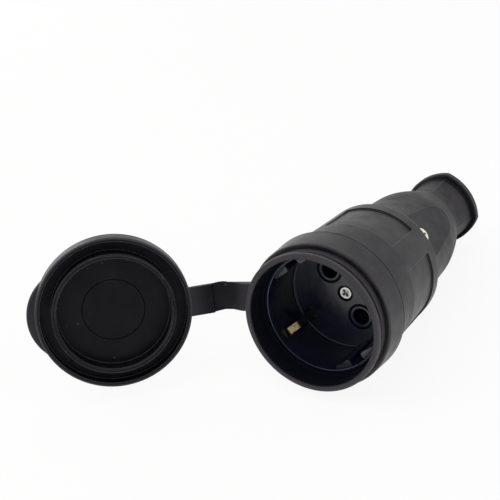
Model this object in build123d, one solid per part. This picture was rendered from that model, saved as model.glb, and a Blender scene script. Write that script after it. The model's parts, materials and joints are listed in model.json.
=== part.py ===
from build123d import *
import math
import os

# Rubber socket connector with a cap on a strap, in millimetres.
# The axis runs along +Y from the mouth to the cable tail, and the face of the mouth is at Y = 0.

# How the connector lies, turned about its axis from +X towards +Z
ROLL = 40.3

# Clearances
FIT = 0.15
THREAD_GAP = 0.05

# Largest share of a narrow ledge that a round may take
ROUND_SHARE = 0.65

# Insert with the well
INSERT_DEPTH = 8.1
WELL_R = 20.1
WELL_DRAFT = 0.4
WELL_DEPTH = 17.6
WELL_FLOOR = 3.0
INSERT_WALL = 1.3
INSERT_ROUND = 0.3
FLOOR_ROUND = 0.5
PIN_SPACING = 19.0
PIN_HOLE_R = 2.75
PIN_LEAD = 0.3
PIN_LAND = 1.1
PIN_GROOVE = 0.75
PIN_GROOVE_DEPTH = 0.5
GUIDE_REACH = 2.5
GUIDE_NOTCH = 5.2
GUIDE_SPAN = 18.0
GUIDE_SET_BACK = 1.6
GUIDE_ROUND = 1.0
EARTH_SLOT_LENGTH = 4.5
EARTH_SLOT_GAP = 1.2

# Lip round the mouth, and the groove behind it
MOUTH_STEP = 0.85
LIP_WALL = 2.05
LIP_LENGTH = 3.1
LIP_CREST = 1.1
LIP_FALL = 0.8
LIP_ROUND = 0.5
GROOVE_DEPTH = 1.2
GROOVE_LENGTH = 2.8

# Collar
COLLAR_PROUD = 1.5
COLLAR_TAPER = 0.4
COLLAR_LENGTH = 10.5
COLLAR_FRONT_ROUND = 0.5
COLLAR_BACK_ROUND = 0.3

# Grip with ribs and scoops
GRIP_WALL = 1.45
GRIP_SWELL = 0.3
GRIP_TAPER = 0.7
GRIP_MID = 14.0
GRIP_PAST_WEB = 3.55
GRIP_ROUND = 0.9
RIB_COUNT = 4
RIB_ANGLE = 24.0
SCOOP_START = 14.2
SCOOP_RING = 5.0
SCOOP_FRONT_DEPTH = 0.45
SCOOP_DEPTH = 0.6

# Neck with its flat
NECK_WALL = 3.85
NECK_TAPER = 1.6
NECK_PAST_FRAME = 6.65
FLAT_WALL = 2.75

# Shoulder, and square tail with rounded sides and a flange
SHOULDER_LENGTH = 22.5
SHOULDER_CURVE = 1.5
TAIL_WALL = 6.2
TAIL_LENGTH = 12.3
TAIL_FLARE = 1.2
TAIL_TURN = 45.0
TAIL_SECTIONS = 16
SQUARENESS = 0.075
FLANGE_PROUD = 1.6
FLANGE_LENGTH = 3.6
FLANGE_ROUND = 0.7
CABLE_R = 5.6
CABLE_MOUTH = 1.2
CABLE_CONE = 10.0

# Terminal base behind the well, and the web of the housing behind it
BASE_LENGTH = 18.6
WEB = 2.4
WEB_REACH = 6.85

# Line contacts
SLEEVE_BORE_R = 2.45
SLEEVE_WALL = 0.95
SLEEVE_SET_BACK = 4.0
SLEEVE_INSET = 0.8
SLEEVE_END = 0.9
SLIT = 0.8
SLIT_LENGTH = 5.5
SPRING_WALL = 0.6
SPRING_LENGTH = 4.0
SPRING_SET_BACK = 1.5
SPRING_GAP = 2.0
TERMINAL_WIDTH = 6.8
TERMINAL_HEIGHT = 6.4
TERMINAL_LENGTH = 8.0
TERMINAL_LAP = 0.8
WIRE_R = 1.5
WIRE_DEPTH = 6.0

# Terminal screws
TERMINAL_SCREW_R = 1.4
TERMINAL_HEAD_RIM = 1.1
TERMINAL_HEAD = 1.9
TERMINAL_HEAD_GAP = 0.2
SLOT_WIDTH = 0.8
SLOT_DEPTH = 0.8

# Earth clip and its terminal
CLIP_T = 0.9
CLIP_WIDTH = 2.4
CLIP_BOSS_WALL = 1.2
CLIP_STAND_OFF = 1.6
CLIP_CONTACT_OFF = 3.2
CLIP_TIP_OFF = 1.2
CLIP_TIP_DEPTH = 4.8
CLIP_RAMP = 3.1
CLIP_BEND = 4.7
CLIP_BEND_R = 1.3
CLIP_FOOT_R = 0.55
EARTH_BLOCK_INSET = 5.1
EARTH_BLOCK_HEIGHT = 6.0
EARTH_BLOCK_WIDTH = 6.0

# Centre screw and its nut
CENTRE_SCREW_R = 1.5
CENTRE_HEAD_RIM = 0.6
CENTRE_HEAD = 1.7
CENTRE_RECESS_GAP = 0.55
CENTRE_RECESS = 2.1
CENTRE_SCREW_PAST = 0.8
CENTRE_NUT_WALL = 1.25
CENTRE_NUT = 2.4

# Cord clamp in the neck
FRAME_R = 14.0
FRAME_WALL = 4.0
CHANNEL_HALF = 7.0
CHANNEL_TOP = 9.6
WIRE_WINDOW_R = 3.2
WIRE_WINDOW_AT = 8.3
WIRE_WINDOWS = 3
CLAMP_FROM_WEB = 10.95
CLAMP_TO_END = 9.05
CLAMP_SCREW_R = 2.0
CLAMP_HEAD_RIM = 1.0
CLAMP_HEAD = 3.4
CLAMP_HEAD_ROUND = 0.9
CLAMP_WAY_GAP = 0.45
CLAMP_NUT_WALL = 1.5
CLAMP_NUT = 2.6
CLAMP_CROSS = 3.4
CENTRE_CROSS = 2.9
CROSS_SLOT = 0.8
CROSS_DEPTH = 1.1
SADDLE_PLAY = 2.2
SADDLE_HEIGHT = 3.6
SADDLE_LENGTH = 9.0
SADDLE_GAP = 0.05

# Cap, in its own frame: rim at 0, depth away from the connector
CAP_GAP = 0.45
SKIRT_WALL = 1.45
SKIRT_DEPTH = 4.1
RIM_ROUND = 0.35
CAP_BASE = 2.0
CAP_ROUND = 1.5
PLUG_GAP = 1.35
PLUG_WALL = 1.8
PLUG_PROUD = 1.4
PLUG_ROUND = 0.6
RING_MARK_R = 10.3
RING_MARK_WIDTH = 0.5
RING_MARK_DEPTH = 0.3
TAB_R = 17.0
TAB_REACH = 2.9
TAB_T = 2.0
TAB_ROUND = 0.6

# Strap: retaining ring, root, thin bend and plate
RING_WALL = 0.5
STRAP_WIDTH = 10.1
ROOT_REACH = 2.9
TAPER_LENGTH = 4.3
BEND_FLAT = 2.5
BEND_T = 1.0
PLATE_T = 2.0
PLATE_END = 2.1
PLATE_BURY = 0.6
STRAP_GAP = 0.3
STRAP_RISE = 2.3
STRAP_FALL = 0.2
PLATE_DROP = 0.75

# Hinge line of the cap in the strap's thin bend, and how far the cap stands open
CAP_SEAT = 0.2
HINGE_REACH = 11.5
HINGE_FROM_LIP = 0.13
HINGE_LEAN_X = -0.075
HINGE_LEAN_Y = 0.055
CAP_OPEN = 141.0

# Radii of the insert, the mouth, the groove and the collar, worked out
WELL_FLOOR_R = WELL_R - WELL_DRAFT
INSERT_R = WELL_R + INSERT_WALL
GUIDE_FLAT = WELL_R - GUIDE_REACH
MOUTH_R = INSERT_R + MOUTH_STEP
LIP_R = MOUTH_R + LIP_WALL
GROOVE_R = LIP_R - GROOVE_DEPTH
COLLAR_R = LIP_R + COLLAR_PROUD
COLLAR_FRONT_R = COLLAR_R - COLLAR_TAPER

# Radii of the grip, the neck and the tail
GRIP_FRONT_R = INSERT_R + FIT + GRIP_WALL
GRIP_MID_R = GRIP_FRONT_R + GRIP_SWELL
GRIP_BACK_R = GRIP_MID_R - GRIP_TAPER
FLAT_R = FRAME_R + FIT + FLAT_WALL
NECK_BACK_R = FRAME_R + FIT + NECK_WALL
NECK_FRONT_R = NECK_BACK_R + NECK_TAPER
WAIST_R = CABLE_R + TAIL_WALL
TAIL_END_R = WAIST_R + TAIL_FLARE
FLANGE_R = TAIL_END_R + FLANGE_PROUD

# Radii of the clip, the base, the contacts and the screws
CLIP_ARM_R = WELL_FLOOR_R - CLIP_STAND_OFF
CLIP_OUT_R = CLIP_ARM_R + CLIP_T / 2
CLIP_BOSS_R = CENTRE_SCREW_R + FIT + CLIP_BOSS_WALL
BASE_R = CLIP_OUT_R + FIT
WEB_R = BASE_R + FIT - WEB_REACH
SLEEVE_R = SLEEVE_BORE_R + SLEEVE_WALL
SPRING_R = SLEEVE_R + THREAD_GAP + SPRING_WALL
TERMINAL_HEAD_R = TERMINAL_SCREW_R + TERMINAL_HEAD_RIM
CENTRE_HEAD_R = CENTRE_SCREW_R + CENTRE_HEAD_RIM
CENTRE_NUT_R = (CENTRE_SCREW_R + CENTRE_NUT_WALL) * 2 / math.sqrt(3)
CLAMP_HEAD_R = CLAMP_SCREW_R + CLAMP_HEAD_RIM
CLAMP_NUT_HALF = CLAMP_SCREW_R + CLAMP_NUT_WALL

# Depths from the mouth
GROOVE_BACK = LIP_LENGTH + GROOVE_LENGTH
COLLAR_BACK = GROOVE_BACK + COLLAR_LENGTH
FLOOR = INSERT_DEPTH + WELL_DEPTH
INSERT_BACK = FLOOR + WELL_FLOOR
CLIP_MID = INSERT_BACK + FIT + CLIP_T / 2
CLIP_BACK = CLIP_MID + CLIP_T / 2
SLEEVE_FRONT = INSERT_BACK + SLEEVE_SET_BACK
BASE_BACK = INSERT_BACK + BASE_LENGTH
SLEEVE_BACK = BASE_BACK - SLEEVE_INSET
TERMINAL_FRONT = SLEEVE_BACK - TERMINAL_LENGTH
SCREW_DEPTH = SLEEVE_BACK - TERMINAL_LENGTH / 2
WEB_BACK = BASE_BACK + FIT + WEB
GRIP_BACK = WEB_BACK + GRIP_PAST_WEB
CLAMP_DEPTH = WEB_BACK + CLAMP_FROM_WEB
FRAME_BACK = CLAMP_DEPTH + CLAMP_TO_END
NECK_BACK = FRAME_BACK + NECK_PAST_FRAME
CABLE_START = NECK_BACK + CABLE_CONE
WAIST = NECK_BACK + SHOULDER_LENGTH
FLANGE = WAIST + TAIL_LENGTH
TAIL_BACK = FLANGE + FLANGE_LENGTH

# Places across the axis
PIN_AT = PIN_SPACING / 2
TERMINAL_LOW = SLEEVE_R - TERMINAL_LAP
TERMINAL_TOP = TERMINAL_LOW + TERMINAL_HEIGHT
TERMINAL_MID = TERMINAL_LOW + TERMINAL_HEIGHT / 2
EARTH_BLOCK_OUT = BASE_R - EARTH_BLOCK_INSET
EARTH_BLOCK_IN = EARTH_BLOCK_OUT - EARTH_BLOCK_HEIGHT
SADDLE_TOP = CHANNEL_TOP - SADDLE_PLAY

# Cap, strap and hinge
SKIRT_IN_R = LIP_R + CAP_GAP
CAP_R = SKIRT_IN_R + SKIRT_WALL
CAP_BACK = SKIRT_DEPTH + CAP_BASE
PLUG_R = MOUTH_R - PLUG_GAP
RIM_Y = LIP_LENGTH - CAP_SEAT
RING_IN_R = GROOVE_R + FIT
RING_MID_R = RING_IN_R + RING_WALL / 2
RING_R = RING_IN_R + RING_WALL
ROOT_END = LIP_R + ROOT_REACH
TAPER_END = ROOT_END + TAPER_LENGTH
BEND_START = TAPER_END + BEND_FLAT
HINGE_X = -(LIP_R + HINGE_REACH)
HINGE_Y = LIP_LENGTH + HINGE_FROM_LIP
HINGE = Axis((HINGE_X, HINGE_Y, 0), (HINGE_LEAN_X, HINGE_LEAN_Y, 1))

# Frame of the connector: local X to the clamp screw, local Y to the lower pin, local Z to the tail
TOP = (math.cos(math.radians(ROLL)), 0, math.sin(math.radians(ROLL)))
CONNECTOR = Plane(origin=(0, 0, 0), x_dir=TOP, z_dir=(0, 1, 0)).location


def turned(outline, arc=360):
    """Solid turned about the axis from (radius, depth) points."""
    wire = Polyline([(r, 0, depth) for r, depth in outline], close=True)
    return revolve(make_face(wire), Axis.Z, arc)


def rod(radius, start, end, x=0, y=0):
    """Cylinder along the axis from one depth to another."""
    return Pos(x, y, start) * Cylinder(radius, end - start, align=(Align.CENTER, Align.CENTER, Align.MIN))


def block(x0, x1, y0, y1, z0, z1):
    """Box between six planes."""
    middle = Pos((x0 + x1) / 2, (y0 + y1) / 2, (z0 + z1) / 2)
    return middle * Box(x1 - x0, y1 - y0, z1 - z0)


def circles(shape, radius, depth):
    """Round edges of a turned solid at one radius and depth."""
    near = 0.001
    edges = shape.edges().filter_by(GeomType.CIRCLE)
    level = edges.filter_by(lambda e: abs(e.center().Z - depth) < near)
    return level.filter_by(lambda e: abs(e.radius - radius) < near)


def rounded(shape, radius, depth, size):
    """Round one circular edge of a turned solid."""
    return fillet(circles(shape, radius, depth), size)


# Housing
def grip_radius(depth):
    """Radius of the grip's ribs at a depth."""
    middle = COLLAR_BACK + GRIP_MID
    if depth < middle:
        share = (depth - COLLAR_BACK) / GRIP_MID
        return GRIP_FRONT_R + (GRIP_MID_R - GRIP_FRONT_R) * share
    share = (depth - middle) / (GRIP_BACK - middle)
    return GRIP_MID_R + (GRIP_BACK_R - GRIP_MID_R) * share


def tail_section(depth, corner, squareness):
    """Square with rounded sides, at a depth: corners on one radius, sides a little inside it."""
    side = corner * (1 - squareness)
    arcs = []
    for k in range(4):
        first = math.radians(TAIL_TURN + 90 * k)
        middle = first + math.pi / 4
        last = first + math.pi / 2
        start = (corner * math.cos(first), corner * math.sin(first), depth)
        through = (side * math.cos(middle), side * math.sin(middle), depth)
        end = (corner * math.cos(last), corner * math.sin(last), depth)
        arcs.append(ThreePointArc(start, through, end))
    return make_face(arcs)


def tail_form(depth):
    """Corner radius and squareness of the shoulder and the tail at a depth."""
    if depth < WAIST:
        t = (depth - NECK_BACK) / SHOULDER_LENGTH
        return NECK_BACK_R - (NECK_BACK_R - WAIST_R) * t ** SHOULDER_CURVE, SQUARENESS * t * t
    t = (depth - WAIST) / TAIL_LENGTH
    return WAIST_R + (TAIL_END_R - WAIST_R) * t * t, SQUARENESS


def tail():
    """Shoulder and tail: round at the neck, square and waisted behind it, with a flange."""
    sections = []
    for k in range(TAIL_SECTIONS + 1):
        depth = NECK_BACK + (FLANGE - NECK_BACK) * k / TAIL_SECTIONS
        corner, squareness = tail_form(depth)
        sections.append(tail_section(depth, corner, squareness))
    flange = extrude(tail_section(FLANGE, FLANGE_R, SQUARENESS), FLANGE_LENGTH, dir=(0, 0, 1))
    ends = flange.faces().filter_by(Axis.Z)
    flange = fillet(ends.edges(), FLANGE_ROUND)
    return loft(sections) + flange


def scoop():
    """Cutter for one scoop: it deepens from a low step to the rear ring of the grip."""
    start = COLLAR_BACK + SCOOP_START
    end = GRIP_BACK - SCOOP_RING
    front = grip_radius(start) - SCOOP_FRONT_DEPTH
    back = grip_radius(end) - SCOOP_DEPTH
    outline = [(front, start), (COLLAR_R, start), (COLLAR_R, end), (back, end)]
    width = 360 / RIB_COUNT - RIB_ANGLE
    return Rot(0, 0, RIB_ANGLE / 2) * turned(outline, width)


def housing_outside():
    """Lip, groove, collar, grip and neck, turned."""
    body = turned([
        (0, 0),
        (LIP_R, 0),
        (LIP_R, LIP_CREST),
        (LIP_R - LIP_FALL, LIP_LENGTH),
        (GROOVE_R, LIP_LENGTH),
        (GROOVE_R, GROOVE_BACK),
        (COLLAR_FRONT_R, GROOVE_BACK),
        (COLLAR_R, COLLAR_BACK),
        (GRIP_FRONT_R, COLLAR_BACK),
        (GRIP_MID_R, COLLAR_BACK + GRIP_MID),
        (GRIP_BACK_R, GRIP_BACK),
        (NECK_FRONT_R, GRIP_BACK),
        (NECK_BACK_R, NECK_BACK),
        (0, NECK_BACK),
    ])
    body = rounded(body, LIP_R, 0, min(LIP_ROUND, LIP_CREST * ROUND_SHARE))
    body = rounded(body, LIP_R, LIP_CREST, LIP_ROUND)
    collar_ledge = COLLAR_FRONT_R - GROOVE_R
    body = rounded(body, COLLAR_FRONT_R, GROOVE_BACK, min(COLLAR_FRONT_ROUND, collar_ledge * ROUND_SHARE))
    body = rounded(body, COLLAR_R, COLLAR_BACK, COLLAR_BACK_ROUND)
    body = rounded(body, GRIP_BACK_R, GRIP_BACK, GRIP_ROUND)
    for k in range(RIB_COUNT):
        body -= Rot(0, 0, 360 / RIB_COUNT * k) * scoop()
    return body


def housing_inside():
    """Mouth, seat of the insert, bore of the base, web, neck hollow and cable way."""
    return turned([
        (0, 0),
        (MOUTH_R, 0),
        (MOUTH_R, INSERT_DEPTH),
        (INSERT_R + FIT, INSERT_DEPTH),
        (INSERT_R + FIT, INSERT_BACK),
        (BASE_R + FIT, INSERT_BACK),
        (BASE_R + FIT, BASE_BACK + FIT),
        (WEB_R, BASE_BACK + FIT),
        (WEB_R, WEB_BACK),
        (FRAME_R + FIT, WEB_BACK),
        (FRAME_R + FIT, NECK_BACK),
        (CABLE_R, CABLE_START),
        (CABLE_R, TAIL_BACK - CABLE_MOUTH),
        (CABLE_R + CABLE_MOUTH, TAIL_BACK),
        (0, TAIL_BACK),
    ])


def rubber_housing():
    """One rubber moulding from the lip to the flange of the tail."""
    body = housing_outside() + tail()
    body -= block(FLAT_R, COLLAR_R, -NECK_FRONT_R, NECK_FRONT_R, GRIP_BACK, WAIST)
    body -= housing_inside()
    screw_way = rod(CLAMP_HEAD_R + CLAMP_WAY_GAP, 0, COLLAR_R)
    return body - Pos(0, 0, CLAMP_DEPTH) * Rot(0, 90, 0) * screw_way


# Insert and base
def pin_hole(y):
    """Cutter for one pin hole with its lead."""
    return Pos(0, y, 0) * turned([
        (0, FLOOR),
        (PIN_HOLE_R + PIN_LEAD, FLOOR),
        (PIN_HOLE_R, FLOOR + PIN_LEAD),
        (PIN_HOLE_R, INSERT_BACK),
        (0, INSERT_BACK),
    ])


def pin_groove(y):
    """Cutter for the groove round the land of one pin hole."""
    land = PIN_HOLE_R + PIN_LAND
    end = FLOOR + PIN_GROOVE_DEPTH
    return Pos(0, y, 0) * (rod(land + PIN_GROOVE, FLOOR, end) - rod(land, FLOOR, end))


def guides():
    """Flats beside the pin holes that guide the plug, with a notch in the middle of each."""
    front = INSERT_DEPTH + GUIDE_SET_BACK
    out = WELL_R + INSERT_WALL / 2
    flats = block(-GUIDE_SPAN / 2, GUIDE_SPAN / 2, -out, out, front, FLOOR)
    flats -= block(-GUIDE_SPAN / 2, GUIDE_SPAN / 2, -GUIDE_FLAT, GUIDE_FLAT, front, FLOOR)
    flats -= block(-GUIDE_NOTCH / 2, GUIDE_NOTCH / 2, -out, out, front, FLOOR)
    corners = flats.edges().filter_by(Axis.Z).filter_by(lambda e: abs(e.center().Y) < GUIDE_FLAT + FIT)
    flats = fillet(corners, GUIDE_ROUND)
    return flats & rod(out, front, FLOOR)


def socket_insert():
    """Plastic cup with the well, plug guides, pin holes and earth slots."""
    cup = rod(INSERT_R, INSERT_DEPTH, INSERT_BACK)
    cup = rounded(cup, INSERT_R, INSERT_DEPTH, INSERT_ROUND)
    cup -= turned([(0, INSERT_DEPTH), (WELL_R, INSERT_DEPTH), (WELL_FLOOR_R, FLOOR), (0, FLOOR)])
    cup = rounded(cup, WELL_R, INSERT_DEPTH, INSERT_ROUND)
    cup = rounded(cup, WELL_FLOOR_R, FLOOR, FLOOR_ROUND)
    cup += guides()
    slot_out = CLIP_OUT_R + FIT
    slot_in = slot_out - EARTH_SLOT_LENGTH
    slot_half = CLIP_WIDTH / 2 + EARTH_SLOT_GAP
    for side in (-1, 1):
        x0, x1 = sorted((side * slot_in, side * slot_out))
        cup -= block(x0, x1, -slot_half, slot_half, FLOOR, INSERT_BACK)
        cup -= pin_hole(side * PIN_AT)
        cup -= pin_groove(side * PIN_AT)
    cup -= rod(CENTRE_HEAD_R + CENTRE_RECESS_GAP, FLOOR, FLOOR + CENTRE_RECESS)
    return cup - rod(CENTRE_SCREW_R + FIT, FLOOR, INSERT_BACK)


def terminal_base():
    """Plastic block behind the well, with pockets for the contacts, the clip and the terminals."""
    base = rod(BASE_R, INSERT_BACK, BASE_BACK)
    base -= rod(CENTRE_SCREW_R + FIT, INSERT_BACK, BASE_BACK)
    groove_half = CLIP_WIDTH / 2 + FIT
    base -= block(-BASE_R, BASE_R, -groove_half, groove_half, INSERT_BACK, CLIP_BACK)
    base -= rod(CLIP_BOSS_R + FIT, INSERT_BACK, CLIP_BACK)
    pocket_half = TERMINAL_WIDTH / 2 + FIT
    way_half = TERMINAL_HEAD_R + FIT
    way_start = SCREW_DEPTH - way_half
    for side in (-1, 1):
        y = side * PIN_AT
        base -= rod(SPRING_R + FIT, INSERT_BACK, BASE_BACK, 0, y)
        top = TERMINAL_TOP + FIT
        base -= block(0, top, y - pocket_half, y + pocket_half, TERMINAL_FRONT - FIT, BASE_BACK)
        base -= block(top, BASE_R, y - way_half, y + way_half, way_start, BASE_BACK)
    earth_half = EARTH_BLOCK_WIDTH / 2 + FIT
    earth_out = -EARTH_BLOCK_OUT - FIT
    earth_in = -EARTH_BLOCK_IN + FIT
    base -= block(earth_out, earth_in, -earth_half, earth_half, CLIP_BACK, BASE_BACK)
    return base - block(-BASE_R, -EARTH_BLOCK_OUT, -way_half, way_half, way_start, BASE_BACK)


# Contacts and terminals
def line_contact(side):
    """Split brass pin sleeve with its terminal block."""
    y = side * PIN_AT
    contact = rod(SLEEVE_R, SLEEVE_FRONT, SLEEVE_BACK, 0, y)
    low = y - TERMINAL_WIDTH / 2
    high = y + TERMINAL_WIDTH / 2
    contact += block(TERMINAL_LOW, TERMINAL_TOP, low, high, TERMINAL_FRONT, SLEEVE_BACK)
    contact -= rod(SLEEVE_BORE_R, SLEEVE_FRONT, SLEEVE_BACK - SLEEVE_END, 0, y)
    slit_end = SLEEVE_FRONT + SLIT_LENGTH
    contact -= block(-SLEEVE_R, SLEEVE_R, y - SLIT / 2, y + SLIT / 2, SLEEVE_FRONT, slit_end)
    contact -= block(-SLIT / 2, SLIT / 2, y - SLEEVE_R, y + SLEEVE_R, SLEEVE_FRONT, slit_end)
    contact -= rod(WIRE_R, SLEEVE_BACK - WIRE_DEPTH, SLEEVE_BACK, TERMINAL_MID, y)
    return contact - line_screw_place(side) * rod(TERMINAL_SCREW_R + THREAD_GAP, -TERMINAL_HEIGHT / 2, 0)


def contact_spring(side):
    """Open steel spring ring round the split end of a sleeve."""
    start = SLEEVE_FRONT + SPRING_SET_BACK
    end = start + SPRING_LENGTH
    ring = rod(SPRING_R, start, end) - rod(SLEEVE_R + THREAD_GAP, start, end)
    ring -= block(-SPRING_R, 0, -SPRING_GAP / 2, SPRING_GAP / 2, start, end)
    return Pos(0, side * PIN_AT, 0) * ring


def line_screw_place(side):
    """Place on the top of a line terminal, with local Z outwards."""
    return Pos(TERMINAL_TOP, side * PIN_AT, SCREW_DEPTH) * Rot(0, 90, 0)


def earth_screw_place():
    """Place on the outer side of the earth terminal, with local Z outwards."""
    return Pos(-EARTH_BLOCK_OUT, 0, SCREW_DEPTH) * Rot(0, -90, 0)


def terminal_screw(depth):
    """Slotted terminal screw that stands on local Z = 0 and reaches down to a depth."""
    seat = TERMINAL_HEAD_GAP
    screw = rod(TERMINAL_SCREW_R, -depth, seat) + rod(TERMINAL_HEAD_R, seat, seat + TERMINAL_HEAD)
    top = seat + TERMINAL_HEAD
    half = TERMINAL_HEAD_R
    return screw - block(-SLOT_WIDTH / 2, SLOT_WIDTH / 2, -half, half, top - SLOT_DEPTH, top)


def line_screw(side):
    """Terminal screw of one line contact."""
    return line_screw_place(side) * terminal_screw(TERMINAL_HEIGHT / 2)


def earth_clip():
    """Bent brass strip: a bar behind the well's floor and a sprung arm at each end."""
    tip_depth = INSERT_DEPTH + CLIP_TIP_DEPTH
    tip = (WELL_R - CLIP_TIP_OFF, tip_depth)
    contact = (WELL_R - CLIP_CONTACT_OFF, tip_depth + CLIP_RAMP)
    bend = (CLIP_ARM_R, tip_depth + CLIP_RAMP + CLIP_BEND)
    foot = (CLIP_ARM_R, CLIP_MID)
    arm = [tip, contact, bend, foot]
    points = [(x, 0, depth) for x, depth in arm]
    points += [(-x, 0, depth) for x, depth in reversed(arm)]
    bends = [CLIP_BEND_R, CLIP_BEND_R, CLIP_FOOT_R]
    path = FilletPolyline(points, radius=bends + bends[::-1])
    section = Plane(origin=path @ 0, x_dir=(0, 1, 0), z_dir=path % 0) * Rectangle(CLIP_WIDTH, CLIP_T)
    strip = sweep(section, path) + rod(CLIP_BOSS_R, CLIP_BACK - CLIP_T, CLIP_BACK)
    return strip - rod(CENTRE_SCREW_R + FIT, INSERT_BACK, BASE_BACK)


def earth_terminal():
    """Brass terminal block on the bar of the earth clip."""
    half = EARTH_BLOCK_WIDTH / 2
    end = SLEEVE_BACK
    terminal = block(-EARTH_BLOCK_OUT, -EARTH_BLOCK_IN, -half, half, CLIP_BACK, end)
    middle = -(EARTH_BLOCK_IN + EARTH_BLOCK_OUT) / 2
    terminal -= rod(WIRE_R, end - WIRE_DEPTH, end, middle, 0)
    return terminal - earth_screw_place() * rod(TERMINAL_SCREW_R + THREAD_GAP, -EARTH_BLOCK_HEIGHT / 2, 0)


def earth_screw():
    """Terminal screw of the earth terminal."""
    return earth_screw_place() * terminal_screw(EARTH_BLOCK_HEIGHT / 2)


# Centre screw and cord clamp
def cross_recess(top, length):
    """Cutter for the cross in a screw head whose top is at a height."""
    half = CROSS_SLOT / 2
    reach = length / 2
    across = block(-reach, reach, -half, half, top - CROSS_DEPTH, top)
    along = block(-half, half, -reach, reach, top - CROSS_DEPTH, top)
    return across + along


def centre_screw():
    """Screw that pulls the insert, the base and the clamp frame together."""
    seat = FLOOR + CENTRE_RECESS
    end = WEB_BACK + FRAME_WALL + CENTRE_SCREW_PAST
    screw = rod(CENTRE_HEAD_R, -CENTRE_HEAD, 0) + rod(CENTRE_SCREW_R, 0, end - seat)
    recess = Rot(180, 0, 0) * cross_recess(CENTRE_HEAD, CENTRE_CROSS)
    return Pos(0, 0, seat) * (screw - recess)


def centre_nut():
    """Hexagon nut in the pocket of the clamp frame's front wall."""
    back = WEB_BACK + FRAME_WALL
    nut = extrude(Pos(0, 0, back - CENTRE_NUT) * RegularPolygon(CENTRE_NUT_R, 6), CENTRE_NUT)
    return nut - rod(CENTRE_SCREW_R + THREAD_GAP, back - CENTRE_NUT, back)


def clamp_frame():
    """Plastic frame in the neck: a front wall with wire windows and a channel for the cable."""
    wall_back = WEB_BACK + FRAME_WALL
    frame = rod(FRAME_R, WEB_BACK, FRAME_BACK)
    frame -= rod(CHANNEL_HALF, wall_back, FRAME_BACK)
    frame -= block(0, CHANNEL_TOP, -CHANNEL_HALF, CHANNEL_HALF, wall_back, FRAME_BACK)
    frame -= rod(CENTRE_SCREW_R + FIT, WEB_BACK, wall_back)
    nut_shape = RegularPolygon(CENTRE_NUT_R + FIT, 6)
    frame -= extrude(Pos(0, 0, wall_back - CENTRE_NUT) * nut_shape, CENTRE_NUT)
    for k in range(WIRE_WINDOWS):
        turn = Rot(0, 0, 180 + 360 / WIRE_WINDOWS * k)
        frame -= turn * rod(WIRE_WINDOW_R, WEB_BACK, wall_back, WIRE_WINDOW_AT, 0)
    half = CLAMP_NUT_HALF + FIT
    frame -= block(0, CHANNEL_TOP + CLAMP_NUT, -half, half, CLAMP_DEPTH - half, CLAMP_DEPTH + half)
    way = Rot(0, 90, 0) * rod(CLAMP_SCREW_R + FIT, 0, FRAME_R)
    return frame - Pos(0, 0, CLAMP_DEPTH) * way


def clamp_saddle():
    """Presser that the clamp screw pushes onto the cable."""
    half = CHANNEL_HALF - FIT
    start = CLAMP_DEPTH - SADDLE_LENGTH / 2
    end = CLAMP_DEPTH + SADDLE_LENGTH / 2
    saddle = block(SADDLE_TOP - SADDLE_HEIGHT, SADDLE_TOP, -half, half, start, end)
    return saddle - rod(CABLE_R, start, end)


def clamp_screw():
    """Pan-head screw on the clamp frame, in its way through the rubber, down to the saddle."""
    seat = FRAME_R + THREAD_GAP
    down = seat - SADDLE_TOP - SADDLE_GAP
    head = rod(CLAMP_HEAD_R, 0, CLAMP_HEAD)
    head = rounded(head, CLAMP_HEAD_R, CLAMP_HEAD, CLAMP_HEAD_ROUND)
    screw = head + rod(CLAMP_SCREW_R, -down, 0) - cross_recess(CLAMP_HEAD, CLAMP_CROSS)
    return Pos(seat, 0, CLAMP_DEPTH) * Rot(0, 90, 0) * screw


def clamp_nut():
    """Square nut in the clamp frame."""
    half = CLAMP_NUT_HALF
    nut = block(CHANNEL_TOP, CHANNEL_TOP + CLAMP_NUT, -half, half, CLAMP_DEPTH - half, CLAMP_DEPTH + half)
    hole = Rot(0, 90, 0) * rod(CLAMP_SCREW_R + THREAD_GAP, 0, FRAME_R)
    return nut - Pos(0, 0, CLAMP_DEPTH) * hole


# Cap and strap
def opened(shape):
    """Swing a shape from the shut cap's place to the open one."""
    return shape.rotate(HINGE, -CAP_OPEN)


def cap():
    """Rubber cap with a skirt, a plug ring, a ring mark and a pull tab, standing open."""
    body = rod(CAP_R, -CAP_BACK, 0)
    body = rounded(body, CAP_R, -CAP_BACK, CAP_ROUND)
    body -= rod(SKIRT_IN_R, -SKIRT_DEPTH, 0)
    body = rounded(body, CAP_R, 0, RIM_ROUND)
    plug_in = PLUG_R - PLUG_WALL
    plug = rod(PLUG_R, -SKIRT_DEPTH, PLUG_PROUD) - rod(plug_in, -SKIRT_DEPTH, PLUG_PROUD)
    plug = rounded(plug, PLUG_R, PLUG_PROUD, PLUG_ROUND)
    plug = rounded(plug, plug_in, PLUG_PROUD, PLUG_ROUND)
    mark = rod(RING_MARK_R + RING_MARK_WIDTH, -SKIRT_DEPTH - RING_MARK_DEPTH, -SKIRT_DEPTH)
    mark -= rod(RING_MARK_R, -SKIRT_DEPTH - RING_MARK_DEPTH, -SKIRT_DEPTH)
    tab = rod(TAB_R, -CAP_BACK, -CAP_BACK + TAB_T)
    tab = fillet(tab.edges().filter_by(GeomType.CIRCLE), TAB_ROUND)
    tab = Pos(-(CAP_R + TAB_REACH - TAB_R), 0, 0) * tab
    tab -= rod(SKIRT_IN_R, -CAP_BACK, 0)
    shut = Plane(origin=(0, RIM_Y, 0), x_dir=(-1, 0, 0), z_dir=(0, 1, 0)).location
    return opened(shut * (body + plug - mark + tab))


def strap_section(x, thickness, height):
    """Section across the strap's root at a distance from the axis, flush with the ring's back."""
    middle = GROOVE_BACK - FIT - thickness / 2
    plane = Plane(origin=(-x, middle, height), x_dir=(0, 0, 1), z_dir=(-1, 0, 0))
    return (plane * Rectangle(STRAP_WIDTH, thickness)).face()


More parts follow.
